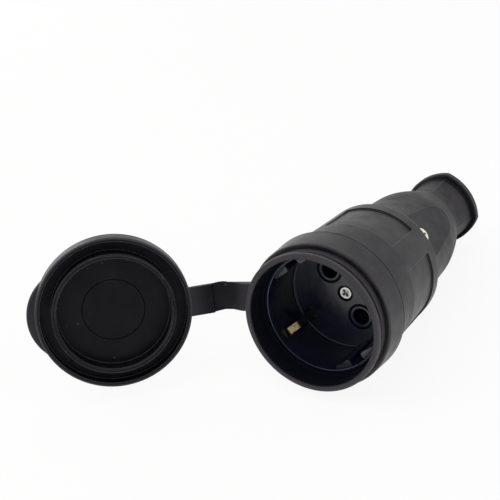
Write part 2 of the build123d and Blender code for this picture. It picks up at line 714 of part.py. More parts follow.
def strap_root():
    """Root of the strap: it leaves the ring a little above the middle and thins towards the bend."""
    ring_length = GROOVE_LENGTH - 2 * FIT
    stations = [(RING_MID_R, ring_length), (ROOT_END, ring_length)]
    stations += [(TAPER_END, BEND_T), (BEND_START, BEND_T)]
    slope = (STRAP_RISE + STRAP_FALL) / (BEND_START - RING_MID_R)
    sections = [strap_section(x, t, STRAP_RISE - slope * (x - RING_MID_R)) for x, t in stations]
    return loft(sections, ruled=True)


def cap_strap():
    """Retaining ring in the groove, with the strap, its thin bend and the plate that meets the cap."""
    front = LIP_LENGTH + FIT
    back = GROOVE_BACK - FIT
    to_world = Rot(-90, 0, 0)
    ring = to_world * (rod(RING_R, front, back) - rod(RING_IN_R, front, back))

    plate_top = RIM_Y - FIT
    plate_low = plate_top - PLATE_T
    plate_start = HINGE_X + PLATE_END
    low = -STRAP_WIDTH / 2 - PLATE_DROP
    high = STRAP_WIDTH / 2 - PLATE_DROP
    plate = block(plate_start, -SKIRT_IN_R, plate_low, plate_top, low, high)
    skirt = Pos(0, RIM_Y, 0) * to_world * rod(CAP_R + STRAP_GAP, -CAP_BACK, CAP_BACK)
    plate = opened(plate - skirt)

    first = strap_section(BEND_START, BEND_T, -STRAP_FALL)
    inside = (plate_start + PLATE_BURY, plate_low + BEND_T / 2, -PLATE_DROP)
    last = Plane(origin=inside, x_dir=(0, 0, 1), z_dir=(1, 0, 0)) * Rectangle(STRAP_WIDTH, BEND_T)
    bend = loft([first, opened(last).face()])
    return ring + strap_root() + bend + plate


def pieces():
    """Every node with its solid, in the frame of the finished part."""
    housed = {
        "rubber_housing": rubber_housing(),
        "socket_insert": socket_insert(),
        "terminal_base": terminal_base(),
        "earth_clip": earth_clip(),
        "earth_terminal": earth_terminal(),
        "earth_screw": earth_screw(),
        "centre_screw": centre_screw(),
        "centre_nut": centre_nut(),
        "clamp_frame": clamp_frame(),
        "clamp_saddle": clamp_saddle(),
        "clamp_screw": clamp_screw(),
        "clamp_nut": clamp_nut(),
    }
    for side, letter in ((-1, "a"), (1, "b")):
        housed["line_contact_" + letter] = line_contact(side)
        housed["contact_spring_" + letter] = contact_spring(side)
        housed["line_screw_" + letter] = line_screw(side)
    nodes = {name: CONNECTOR * solid for name, solid in housed.items()}
    nodes["cap"] = cap()
    nodes["cap_strap"] = cap_strap()
    return nodes


os.makedirs("parts", exist_ok=True)
for name, solid in pieces().items():
    export_step(solid, "parts/" + name + ".step")
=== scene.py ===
import json
import math

import bmesh
import bpy
from bpy.props import FloatProperty, FloatVectorProperty, IntProperty, PointerProperty
from mathutils import Matrix, Vector


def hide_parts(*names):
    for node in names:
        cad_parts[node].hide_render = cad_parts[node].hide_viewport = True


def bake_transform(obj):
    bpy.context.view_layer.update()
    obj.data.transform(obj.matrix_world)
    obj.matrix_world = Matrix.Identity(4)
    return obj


bl_info = {
    "name": "Rubber socket connector",
    "version": (1, 0, 0),
    "blender": (4, 5, 0),
    "location": "View3D > Sidebar > Connector",
    "description": "Dresses a rubber socket connector and its strapped cap, and sets its studio",
    "category": "Object",
}

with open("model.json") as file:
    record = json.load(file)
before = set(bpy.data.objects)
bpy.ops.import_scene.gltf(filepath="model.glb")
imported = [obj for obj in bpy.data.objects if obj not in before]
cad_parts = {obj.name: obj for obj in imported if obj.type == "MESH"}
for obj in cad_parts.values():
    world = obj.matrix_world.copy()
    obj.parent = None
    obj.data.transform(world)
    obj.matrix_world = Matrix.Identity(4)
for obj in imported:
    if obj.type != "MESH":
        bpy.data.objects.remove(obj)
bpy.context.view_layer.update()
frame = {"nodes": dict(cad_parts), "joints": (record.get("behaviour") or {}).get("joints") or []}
NODES = frame["nodes"]
SWING = frame["joints"][0]
MM = 0.001

# The cap's hinge, and how far the cap turns from its open rest to sit on the mouth
HINGE_POINT = Vector(SWING["pos_m"])
HINGE_AXIS = Vector(SWING["axis"]).normalized()
SHUT_ANGLE = math.radians(SWING["range_deg"][1])

# Axes that count in a distance: from the connector's axis, along it, and from the hinge
ROUND_AXIS = (1, 0, 1)
ALONG_AXIS = (0, 1, 0)
ROUND_HINGE = (1, 1, 0)

# Levels between which most of a noise lies, and samples of the nodes that look round a point
NOISE_LOW = 0.3
NOISE_HIGH = 0.7
HOLLOW_SAMPLES = 8
BEVEL_SAMPLES = 6

# Cosines of the turn at an edge: wholly pale, for rubbing and a painted highlight, and not pale at all
PALE_EDGE_TURN = 0.996
SMOOTH_TURN = 0.9993

# Widths over which one finish fades into another
PAINTED_SHADE_FADE = 0.15 * MM
BACK_FADE = 0.2 * MM
EDGE_FADE = 0.5 * MM
MOUTH_FADE = 1 * MM
LIP_FADE = 1.5 * MM
BRASS_FADE = 1.2 * MM
TAIL_FADE = 15 * MM

# Bands of painted shade round the housing: half their width, and the fade on each side
COLLAR_BAND = {"half": 0.20 * MM, "fade": 0.20 * MM}
LEDGE_BAND = {"half": 0.30 * MM, "fade": 0.20 * MM}
FLANGE_BAND = {"half": 0.50 * MM, "fade": 0.60 * MM}

# Patches of a second colour: their size, and the noise's levels where they start and are full
RUBBER_FILM = {"size": 8 * MM, "start": 0.40, "full": 0.75, "detail": 6, "rough": 0.65}
RUBBER_DUST = {"size": 0.9 * MM, "start": 0.785, "full": 0.82, "detail": 1}
INSERT_FLOW = {"size": 6 * MM, "start": 0.4, "full": 0.7}
BASE_PATCHES = {"size": 4 * MM, "start": 0.35, "full": 0.7}
BRASS_TARNISH = {"size": 1.0 * MM, "start": 0.52, "full": 0.68, "detail": 4, "rough": 0.6}
STEEL_FILM = {"size": 0.8 * MM, "start": 0.4, "full": 0.75, "detail": 4, "rough": 0.6}

# Patches of gloss
RUBBER_GLOSS = {"size": 5 * MM, "detail": 4}
INSERT_GLOSS = {"size": 3 * MM, "detail": 4}
BASE_GLOSS = {"size": 2 * MM, "detail": 3}
BRASS_GLOSS = {"size": 0.9 * MM, "detail": 3}
STEEL_GLOSS = {"size": 0.5 * MM, "detail": 3}

# Bumps: their size and depth
RUBBER_WAVES = {"size": 7 * MM, "depth": 0.06 * MM, "detail": 1}
INSERT_WAVES = {"size": 5 * MM, "depth": 0.05 * MM, "detail": 1}
INSERT_GRAIN = {"size": 0.12 * MM, "depth": 0.004 * MM}
BASE_GRAIN = {"size": 0.1 * MM, "depth": 0.006 * MM}
BRASS_LINES = {"size": 0.3 * MM, "depth": 0.006 * MM, "detail": 3, "rough": 0.6, "stretch": (4, 0.2, 4)}
STEEL_PITS = {"size": 0.14 * MM, "depth": 0.006 * MM, "detail": 3, "rough": 0.6}

# Hollows: their width, and the levels of light where they are darkest and end; the steel's hollows take
# painted shade
INSERT_HOLLOWS = {"width": 1.5 * MM, "shut": 0.4, "clear": 0.9}
STEEL_SHADED_HOLLOWS = {"width": 0.9 * MM, "shut": 0.25, "clear": 0.75}

# Brightness of darker and paler places against a finish's own colour; the steel's hollows, the centre screw's
# middle and the edge of its head take painted shade
INSERT_PALE = 1.5
BASE_DARK = 0.6
STEEL_DULL = 0.88
STEEL_HOLLOW_SHADE = 0.06
STEEL_MIDDLE_SHADE = 0.2
STEEL_EDGE_SHADE = 0.05
FLOOR_PALE = 1.02

# The centre screw's head: where the painted shade of its middle starts and where the painted shade of its
# edge does, in radii of the middle's shade
MIDDLE_SHADE_START = 0.6
EDGE_SHADE_START = 1.15
EDGE_SHADE_FADE = 0.07

RUBBER_IOR = 1.5
PLASTIC_IOR = 1.5
SPRINGS = ("contact_spring_a", "contact_spring_b")

# Steps and angles of the strap's mesh
RING_TURNS = 128
CORNER_STEPS = 3
MOST_ROUND = 0.95
PLATE_ANGLES = (0, 30, 60, 90)
SHARP_ANGLE = math.radians(38)
WELD = 1e-7

# The floor: ends of the housing that may touch it, and steps to find it
MOUTH_END = 20 * MM
TAIL_START = 100 * MM
SWING_STEPS = 6
PLANE_TRIES = 12
FLOOR_SEGMENTS = 96

# The unlit side of the room: its way from the object, and how near to that way it starts and is full
UNLIT_WAY = (0.40, -0.75, 0.53)
UNLIT_START = 0.2
UNLIT_FULL = 0.8

# Lamps: place, size, tint, and whether reflections show them
LAMP_TARGET = Vector((-0.01, 0.03, 0))
LAMPS = {
    "key": ((-0.78, 0.26, 0.24), 0.6, (1.0, 0.96, 0.94), True),
    "fill": ((0.80, 0.20, 0.25), 0.6, (0.94, 0.96, 1.0), True),
    "top": ((-0.25, -0.25, 0.55), 0.5, (1.0, 0.98, 0.97), False),
    "front": ((0.35, -0.75, 0.55), 0.4, (1.0, 0.98, 0.96), False),
}

# The photograph's angle
CAMERA_PLACE = Vector((166.3, -333.8, 192.4)) * MM
CAMERA_AHEAD = Vector((-0.4493, 0.7949, -0.4078)).normalized()
CAMERA_SENSOR = 36
CAMERA_CLIP = (0.01, 20)


def swung(angle):
    """Turn of the cap about its hinge."""
    turn = Matrix.Rotation(angle, 4, HINGE_AXIS)
    return Matrix.Translation(HINGE_POINT) @ turn @ Matrix.Translation(-HINGE_POINT)


# From the shut cap's place to its open rest
OPENED = swung(-SHUT_ANGLE)


def length(name, description, default):
    """Property for a length in metres."""
    return FloatProperty(name=name, description=description, default=default, unit="LENGTH", precision=5)


def share(name, description, default):
    """Property for a share from 0 to 1."""
    return FloatProperty(
        name=name, description=description, default=default, min=0, max=1, subtype="FACTOR",
    )


def colour(name, description, default):
    """Property for a colour."""
    return FloatVectorProperty(
        name=name, description=description, default=default, min=0, max=1, subtype="COLOR",
    )


def power(name, description, default):
    """Property for a lamp's power in watts."""
    return FloatProperty(name=name, description=description, default=default, min=0, unit="POWER")


class RubberSettings(bpy.types.PropertyGroup):
    """Finish of the moulded rubber."""

    housing: colour("Housing", "Colour of the housing's rubber", (0.0046, 0.0042, 0.0062))
    housing_film: colour("Housing film", "Colour of the dull film on the housing", (0.0330, 0.0295, 0.0300))
    housing_shine: share("Housing shine", "Specular level of the housing's rubber", 0.38)
    cap: colour("Cap", "Colour of the cap's and strap's rubber", (0.0040, 0.0037, 0.0060))
    cap_film: colour("Cap film", "Colour of the dull film on the cap", (0.0092, 0.0088, 0.0110))
    cap_shine: share("Cap shine", "Specular level of the cap's rubber", 0.13)
    film_most: share("Film", "Share of the dull film where it is thickest", 0.7)
    # Pale edges: partly rubbed rubber, partly a painted highlight on rounded edges
    rubbed: colour("Rubbed edge", "Colour of the rubber's rubbed edges", (0.085, 0.082, 0.085))
    dust: colour("Dust", "Colour of the few specks of dust on the rubber", (0.22, 0.215, 0.21))
    dust_most: share("Dust share", "Share of the dust in the middle of a speck", 0.8)
    sheen: colour("Sheen", "Tint of the rubber's reflections", (1.0, 0.95, 0.99))
    handled: colour("Handled", "Colour of the film that hands and the cap's fit leave", (0.042, 0.040, 0.046))
    # On the lip this film is partly rubbing by the cap and partly a painted reflection that brightens the
    # lip's face
    lip_film_and_reflection: share("Handled lip", "Share of this film on the lip", 0.5)
    handled_cap: share("Handled cap", "Share of this film on the cap's skirt and tab", 0.8)
    handled_strap: share("Handled strap", "Share of this film on the strap", 0.9)
    lip_film_and_reflection_depth: length("Lip rubbed", "Depth behind the mouth down to which the cap rubs the lip", 2.0 * MM)
    handled_from: length("Handled from", "Radius on the cap from which hands leave a film", 25.2 * MM)
    # Painted shade at the bend: near the hinge the strap keeps its dark rubber without the film
    bend_shade_to: length("Flexed to", "Distance from the hinge up to which the strap stays dark", 4 * MM)
    bend_shade_end: length("Stiff from", "Distance from the hinge from which it has its full film", 12 * MM)
    # Painted shade: a dark ring on the cap's floor
    shade_ring_inner: length("Mark inside", "Inner radius of the dark ring on the cap's floor", 10.25 * MM)
    shade_ring_outer: length("Mark outside", "Outer radius of this ring", 10.85 * MM)
    shade_ring_back: length("Mark back", "Depth that this ring reaches, with the cap shut", -2.0 * MM)
    shade_ring_light: share("Mark light", "How much of its own look the rubber keeps in this ring", 0.2)
    gloss_low: share("Smooth", "Roughness where the rubber is smoothest", 0.33)
    gloss_high: share("Dull", "Roughness where the rubber is dullest", 0.46)
    edge: length("Soft edge", "Radius that the light takes on the rubber's sharp edges", 0.22 * MM)
    lip_edge: length("Lip edge", "Radius that the light takes on the lip and the collar's front", 1.1 * MM)
    lip_depth: length("Lip depth", "Depth behind the mouth of these softer edges", 8.5 * MM)
    # Painted shade: the rubber inside the mouth takes this dark colour, up to the next radius
    mouth_shade: colour("Mouth wall", "Colour of the rubber inside the mouth", (0.0040, 0.0046, 0.0090))
    mouth: length("Mouth", "Radius up to which the rubber inside the mouth is dark", 22.3 * MM)
    # Painted shade in dark bands: the ledge inside the mouth, the collar's end and the flange's front, darker
    # on the flange's right
    ledge: length("Ledge", "Depth behind the mouth of the dark ledge round the insert", 8.1 * MM)
    crease: length("Crease", "Depth behind the mouth of the dark line at the collar's end", 16.2 * MM)
    crease_shade: share("Crease shade", "Share of the rubber's own colour in a dark crease", 0.4)
    crease_dull: share("Crease dullness", "Roughness that a dark crease adds", 0.5)
    crease_shine: share("Crease shine", "Share of the specular level in a dark crease", 0.25)
    flange: length("Flange", "Depth behind the mouth of the dark front of the tail's flange", 111.15 * MM)
    flange_left: length("Flange left", "Place across the flange up to which it is palest", -8 * MM)
    flange_right: length("Flange right", "Place across the flange from which it is darkest", 4 * MM)
    flange_pale: share("Flange pale", "How much of its own look the rubber keeps where it is palest", 0.95)
    flange_dark: share("Flange dark", "How much of its own look the rubber keeps where it is darkest", 0.35)
    tail_from: length("Tail from", "Depth behind the mouth from which the rubber is duller", 58 * MM)
    tail_dull: share("Tail dullness", "Roughness that the neck and the tail add", 0.15)
    grain: length("Grain", "Size of the moulding grain", 0.16 * MM)
    grain_depth: length("Grain depth", "Depth of the moulding grain", 0.010 * MM)


class PlasticSettings(bpy.types.PropertyGroup):
    """Finish of the insert and the inner plastic."""

    insert: colour("Insert", "Colour of the socket insert", (0.0026, 0.0036, 0.0125))
    insert_shine: share("Insert shine", "Specular level of the socket insert", 0.75)
    # Painted shade: a lower shine in the insert's gaps, grooves and rim
    gap_shine: share("Gap shine", "Specular level in the insert's dark gaps and grooves", 0.1125)
    screw_gap: length("Screw gap", "Radius of the dark gap round the centre screw", 2.85 * MM)
    groove_inner: length("Groove inside", "Inner radius of the dark grooves round the pin holes", 3.75 * MM)
    groove_outer: length("Groove outside", "Outer radius of these grooves", 4.65 * MM)
    rim: length("Rim", "Radius from which the insert's rim is dark", 20.45 * MM)
    gloss_low: share("Smooth", "Roughness where the insert is smoothest", 0.18)
    gloss_high: share("Dull", "Roughness where the insert is dullest", 0.28)
    hollow_dull: share("Hollow dullness", "Roughness that the insert's hollows add", 0.6)
    base: colour("Base", "Colour of the terminal base and the cord clamp", (0.030, 0.030, 0.032))
    base_low: share("Base smooth", "Roughness where the base is smoothest", 0.5)
    base_high: share("Base dull", "Roughness where the base is dullest", 0.66)


class MetalSettings(bpy.types.PropertyGroup):
    """Finish of the brass and steel pieces."""

    brass: colour("Brass", "Colour of the contacts and the earth clip", (1.0, 0.80, 0.46))
    tarnish: colour("Tarnish", "Colour of the dull patches on the brass", (0.30, 0.19, 0.085))
    # Painted shade: the brass deeper in takes this dark colour
    shaded_brass: colour("Deep brass", "Colour of the brass that no plug rubs", (0.028, 0.029, 0.040))
    brass_shade_from: length("Rubbed to", "Depth behind the mouth down to which plugs rub the brass", 15.7 * MM)
    brass_low: share("Brass smooth", "Roughness where the brass is smoothest", 0.20)
    brass_high: share("Brass dull", "Roughness where the brass is dullest", 0.38)
    brass_metal: share("Brass metallic", "How metallic the brass is under its film", 0.55)
    zinc: colour("Zinc", "Colour of the plated screws", (1.0, 0.99, 0.95))
    straw: colour("Straw", "Colour of the clamp screw's plating", (1.0, 0.90, 0.76))
    screw_low: share("Screw smooth", "Roughness where a screw is smoothest", 0.22)
    screw_high: share("Screw dull", "Roughness where a screw is dullest", 0.40)
    # Painted shade on the centre screw: its middle is darker
    middle_shade_radius: length("Driver wear", "Radius of the centre screw's dull middle", 1.7 * MM)
    middle_shade: share("Driver dullness", "How much drivers have dulled this middle", 0.6)
    spring: colour("Spring", "Colour of the spring rings", (0.42, 0.43, 0.45))
    spring_low: share("Spring smooth", "Roughness where a spring ring is smoothest", 0.26)
    spring_high: share("Spring dull", "Roughness where a spring ring is dullest", 0.42)
    steel_metal: share("Steel metallic", "How metallic the steel is under its film", 0.65)


class StrapSettings(bpy.types.PropertyGroup):
    """Sizes of the retaining ring and its strap."""

    ring_inner: length("Ring inside", "Inner radius of the retaining ring", 23.25 * MM)
    ring_outer: length("Ring outside", "Outer radius of the retaining ring", 23.75 * MM)
    front: length("Ring front", "Depth of the ring's front face behind the mouth", 3.25 * MM)
    back: length("Ring back", "Depth of the ring's back face behind the mouth", 5.75 * MM)
    width: length("Width", "Width of the strap", 10.1 * MM)
    root: length("Root", "Radius at which the thick root starts to taper", 27.2 * MM)
    taper: length("Taper", "Radius at which the thin bend starts", 31.5 * MM)
    flat: length("Flat", "Length of the thin strap before the bend", 2.5 * MM)
    rise: length("Rise", "Height of the strap's middle where it leaves the ring", 2.3 * MM)
    fall: length("Fall", "Depth of the strap's middle where it starts to bend", 0.2 * MM)
    thin: length("Thin bend", "Thickness of the bend", 1.0 * MM)
    plate: length("Plate", "Thickness of the plate that meets the cap", 2.0 * MM)
    plate_top: length("Plate top", "Depth of its upper side behind the mouth, with the cap shut", 2.75 * MM)
    plate_start: length("Plate start", "Distance from the hinge to the plate's end", 2.1 * MM)
    plate_end: length("Plate end", "Radius at which the plate meets the cap's skirt", 25.4 * MM)
    plate_drop: length("Plate drop", "Depth of the plate's middle below the connector's axis", 0.75 * MM)
    edge: length("Edge", "Radius of the strap's long edges", 0.35 * MM)
    steps: IntProperty(name="Bend steps", description="Sections along the bend", default=18, min=6, max=60)


class StageSettings(bpy.types.PropertyGroup):
    """Floor, light and camera."""

    floor: colour("Floor", "Colour of the floor", (0.93, 0.93, 0.93))
    floor_reach: length("Floor reach", "Radius of the floor", 0.55)
    floor_mottle: length("Floor mottle", "Size of the floor's faint patches", 0.03)
    shadow: share("Shadow", "Share of the floor's own shading that the camera sees", 0.10)
    unlit: share("Unlit side", "Brightness of the unlit side of the room in reflections", 0.42)
    room: colour("Room", "Light of the white room on the object", (0.55, 0.545, 0.54))
    key_power: power("Key", "Power of the lamp behind", 2.0)
    top_power: power("Top", "Power of the overhead lamp", 1.2)
    fill_power: power("Fill", "Power of the side lamp", 1.3)
    front_power: power("Front", "Power of the front lamp", 1.4)
    lens: FloatProperty(
        name="Lens", description="Focal length on a 36 mm sensor", default=93.6, unit="CAMERA",
    )


def settings():
    """The groups of settings on the scene."""
    return bpy.context.scene.connector


def shade(tint, brightness):
    """A colour made darker or paler."""
    return [c * brightness for c in tint]


class Tree:
    """Short way to add and join a material's nodes."""

    def __init__(self, name):
        self.material = bpy.data.materials.new(name)
        self.material.use_nodes = True
        self.tree = self.material.node_tree
        self.shader = self.tree.nodes["Principled BSDF"]
        self.place = self.add("ShaderNodeTexCoord").outputs["Object"]

    def add(self, kind, **values):
        """New node with some of its values set."""
        node = self.tree.nodes.new(kind)
        for key, value in values.items():
            setattr(node, key, value)
        return node

    def join(self, source, target):
        """Link an output to an input."""
        self.tree.links.new(source, target)

    def join_or_set(self, value, socket):
        """Link an output to an input, or set a plain value there."""
        if hasattr(value, "links"):
            self.join(value, socket)
        else:
            socket.default_value = value

    def ranged(self, source, low, high, to_low, to_high):
        """Value that goes from to_low to to_high while the source goes from low to high."""
        node = self.add("ShaderNodeMapRange")
        for key, value in (("From Min", low), ("From Max", high), ("To Min", to_low), ("To Max", to_high)):
            node.inputs[key].default_value = value
        self.join(source, node.inputs["Value"])
        return node.outputs["Result"]

    def past(self, distance, start, fade):
        """0 up to a distance and 1 past it."""
        return self.ranged(distance, start, start + fade, 0, 1)

    def joined(self, operation, first, *others):
        """Values joined by a sum, a maximum or the like."""
        for other in others:
            node = self.add("ShaderNodeMath", operation=operation)
            self.join(first, node.inputs[0])
            self.join(other, node.inputs[1])
            first = node.outputs["Value"]
        return first

    def between(self, source, first, second):
        """Colour that goes from first to second with the source."""
        node = self.add("ShaderNodeMix", data_type="RGBA")
        colours = [s for s in node.inputs if s.type == "RGBA"]
        for socket, value in zip(colours, (first, second)):
            self.join_or_set(value if hasattr(value, "links") else (*value, 1), socket)
        self.join(source, node.inputs["Factor"])
        return [s for s in node.outputs if s.type == "RGBA"][0]

    def noise(self, size, detail=2.0, rough=0.5, stretch=None):
        """Noise whose features are about the given size in metres."""
        node = self.add("ShaderNodeTexNoise")
        node.inputs["Scale"].default_value = 1 / size
        node.inputs["Detail"].default_value = detail
        node.inputs["Roughness"].default_value = rough
        place = self.place
        if stretch:
            mapping = self.add("ShaderNodeMapping")
            mapping.inputs["Scale"].default_value = stretch
            self.join(place, mapping.inputs["Vector"])
            place = mapping.outputs["Vector"]
        self.join(place, node.inputs["Vector"])
        return node.outputs["Fac"]

    def patches(self, size, start, full, most=1, **pattern):
        """Patches of about the given size, from where a noise starts to count to where it is full."""
        return self.ranged(self.noise(size, **pattern), start, full, 0, most)

    def uneven(self, low, high, size, **pattern):
        """Value that wanders from low to high in patches of about the given size."""
        return self.ranged(self.noise(size, **pattern), NOISE_LOW, NOISE_HIGH, low, high)

    def along(self, axis, place=None):
        """One part of a place, X, Y or Z: Y is the depth behind the mouth."""
        node = self.add("ShaderNodeSeparateXYZ")
        self.join(place or self.place, node.inputs["Vector"])
        return node.outputs[axis]

    def shut_place(self):
        """Place of a point of the cap when the cap is shut."""
        node = self.add("ShaderNodeMapping")
        turn = OPENED.inverted()
        node.inputs["Location"].default_value = turn.to_translation()
        node.inputs["Rotation"].default_value = turn.to_euler()
        self.join(self.place, node.inputs["Vector"])
        return node.outputs["Vector"]

    def reach(self, place, keep=ROUND_AXIS, centre=(0, 0, 0)):
        """Distance of a place from a centre along the kept axes."""
        flat = self.add("ShaderNodeVectorMath", operation="MULTIPLY")
        flat.inputs[1].default_value = keep
        self.join(place, flat.inputs[0])
        node = self.add("ShaderNodeVectorMath", operation="DISTANCE")
        node.inputs[1].default_value = [c * k for c, k in zip(centre, keep)]
        self.join(flat.outputs["Vector"], node.inputs[0])
        return node.outputs["Value"]

    def outside_band(self, depth, half, fade):
        """0 in a band at a depth behind the mouth and 1 away from it."""
        return self.past(self.reach(self.place, ALONG_AXIS, (0, depth, 0)), half, fade)

    def outside_ring(self, radius, inner, outer):
        """0 in a ring between two radii and 1 away from it."""
        within = self.ranged(radius, inner - PAINTED_SHADE_FADE, inner, 1, 0)
        return self.joined("MAXIMUM", within, self.past(radius, outer, PAINTED_SHADE_FADE))

    def openness(self, width, shut, clear):
        """0 in hollows up to a width in metres and 1 in the open, between two levels of light."""
        node = self.add("ShaderNodeAmbientOcclusion", samples=HOLLOW_SAMPLES)
        node.inputs["Distance"].default_value = width
        return self.ranged(node.outputs["AO"], shut, clear, 0, 1)

    def soft_edges(self, radius):
        """Normal that rounds sharp edges."""
        node = self.add("ShaderNodeBevel", samples=BEVEL_SAMPLES)
        self.join_or_set(radius, node.inputs["Radius"])
        return node.outputs["Normal"]

    def edge_wear_and_highlight(self, radius):
        """1 on edges up to a radius and 0 on faces, for pale edges that are partly rubbed and partly a
        painted highlight.
        """
        turn = self.add("ShaderNodeVectorMath", operation="DOT_PRODUCT")
        self.join(self.soft_edges(radius), turn.inputs[0])
        self.join(self.add("ShaderNodeNewGeometry").outputs["Normal"], turn.inputs[1])
        return self.ranged(turn.outputs["Value"], PALE_EDGE_TURN, SMOOTH_TURN, 1, 0)

    def bump(self, size, depth, under=None, **pattern):
        """Bump of a size and depth in metres, over another one."""
        node = self.add("ShaderNodeBump")
        node.inputs["Strength"].default_value = 1
        node.inputs["Distance"].default_value = depth
        self.join(self.noise(size, **pattern), node.inputs["Height"])
        if under:
            self.join(under, node.inputs["Normal"])
        return node.outputs["Normal"]

    def finish(self, **sockets):
        """Set or join the shader's sockets, named with underscores."""
        for key, value in sockets.items():
            self.join_or_set(value, self.shader.inputs[key.replace("_", " ")])
        return self.material


def rubber(tree, base, film, shine, edge, worn=True, handled=None, outside_mouth_shade=None, crease=None, dullness=None):
    """Satin moulded rubber: fine grain, slow waves, a patchy film, specks of dust and pale edges, partly
    rubbed and partly a painted highlight.

    Handled is the share of the film that hands leave, which on the lip is partly a painted reflection, aired
    is 0 where shade is painted inside the mouth, crease is 0 where shade is painted in dark bands and rings,
    and dullness is roughness to add.
    """
    look = settings().rubber
    normal = tree.soft_edges(edge)
    tint = tree.between(tree.patches(**RUBBER_FILM, most=look.film_most), base, film)
    tint = tree.between(tree.patches(**RUBBER_DUST, most=look.dust_most), tint, look.dust)
    if handled:
        tint = tree.between(handled, tint, look.handled)
    # Painted highlight: the edges take a pale colour, partly for rubbing and partly for the light that
    # rounded edges catch
    if worn:
        tint = tree.between(tree.edge_wear_and_highlight(look.edge), tint, look.rubbed)
    # Painted shade in dark bands and rings: a darker colour
    if crease:
        tint = tree.between(crease, shade(base, look.crease_shade), tint)
    # Painted shade inside the mouth
    if outside_mouth_shade:
        tint = tree.between(outside_mouth_shade, look.mouth_shade, tint)
    gloss = tree.uneven(look.gloss_low, look.gloss_high, **RUBBER_GLOSS)
    if dullness:
        gloss = tree.joined("ADD", gloss, dullness)
    # In painted shade the rubber is also duller and less shiny
    if crease:
        gloss = tree.joined("ADD", gloss, tree.ranged(crease, 0, 1, look.crease_dull, 0))
        shine = tree.ranged(crease, 0, 1, look.crease_shine * shine, shine)
    waves = tree.bump(**RUBBER_WAVES, under=normal)
    grain = tree.bump(look.grain, look.grain_depth, under=waves)
    return tree.finish(
        Base_Color=tint, Roughness=gloss, Normal=grain, IOR=RUBBER_IOR, Specular_IOR_Level=shine,
        Specular_Tint=(*look.sheen, 1),
    )


def housing_rubber():
    """The housing's rubber: a paler lip, partly rubbed and partly a painted reflection, painted shade inside
    the mouth and in dark bands, and a duller tail.
    """
    look = settings().rubber
    tree = Tree("housing_rubber_finish")
    depth = tree.along("Y")
    edge = tree.ranged(depth, look.lip_depth, look.lip_depth + EDGE_FADE, look.lip_edge, look.edge)
    # Paler film on the lip: partly rubbing by the cap, partly a painted reflection
    lip = tree.ranged(depth, look.lip_film_and_reflection_depth - LIP_FADE, look.lip_film_and_reflection_depth, look.lip_film_and_reflection, 0)
    # Painted shade inside the mouth: within its radius and down to the lip's depth
    outside = tree.past(tree.reach(tree.place), look.mouth, EDGE_FADE)
    behind = tree.past(depth, look.lip_depth, MOUTH_FADE)

    # Painted shade: dark lines at the collar's end, on the ledge inside the mouth, and on the flange's front,
    # darker on its right side
    collar_shade = tree.outside_band(look.crease, **COLLAR_BAND)
    ledge = tree.joined("MAXIMUM", outside, tree.outside_band(look.ledge, **LEDGE_BAND))
    flange_shade = tree.ranged(
        tree.along("X"), look.flange_left, look.flange_right, look.flange_pale, look.flange_dark,
    )
    flange_front = tree.joined("MAXIMUM", tree.outside_band(look.flange, **FLANGE_BAND), flange_shade)
    return rubber(
        tree, look.housing, look.housing_film, look.housing_shine, edge,
        handled=lip,
        outside_mouth_shade=tree.joined("MAXIMUM", outside, behind),
        crease=tree.joined("MINIMUM", collar_shade, flange_front, ledge),
        dullness=tree.ranged(depth, look.tail_from, look.tail_from + TAIL_FADE, 0, look.tail_dull),
    )


def cap_rubber():
    """The cap's rubber, dulled by hands on the skirt and the tab, with a ring of painted shade on its floor.
    """
    look = settings().rubber
    tree = Tree("cap_rubber_finish")
    place = tree.shut_place()
    radius = tree.reach(place)
    handled = tree.ranged(radius, look.handled_from, look.handled_from + EDGE_FADE, 0, look.handled_cap)
    # Painted shade in a ring on the cap's floor, placed with the cap shut
    off_ring = tree.outside_ring(radius, look.shade_ring_inner, look.shade_ring_outer)
    off_floor = tree.ranged(tree.along("Y", place), look.shade_ring_back - BACK_FADE, look.shade_ring_back, 1, 0)
    ring_shade = tree.ranged(tree.joined("MAXIMUM", off_ring, off_floor), 0, 1, look.shade_ring_light, 1)
    return rubber(tree, look.cap, look.cap_film, look.cap_shine, look.edge, handled=handled, crease=ring_shade)


def strap_rubber():
    """The strap's rubber, dulled by hands, with painted shade at the bend, where the film is left off."""
    look = settings().rubber
    tree = Tree("strap_rubber_finish")
    from_hinge = tree.reach(tree.place, ROUND_HINGE, HINGE_POINT)
    # The film fades out towards the hinge, which paints shade on the bend
    handled = tree.ranged(from_hinge, look.bend_shade_to, look.bend_shade_end, 0, look.handled_strap)
    return rubber(tree, look.cap, look.cap_film, look.cap_shine, look.edge, worn=False, handled=handled)


def pin_axis(spring):
    """A point on a pin's axis: the middle of the spring ring round it."""
    corners = [Vector(corner) for corner in NODES[spring].bound_box]
    return sum(corners, Vector()) / len(corners)


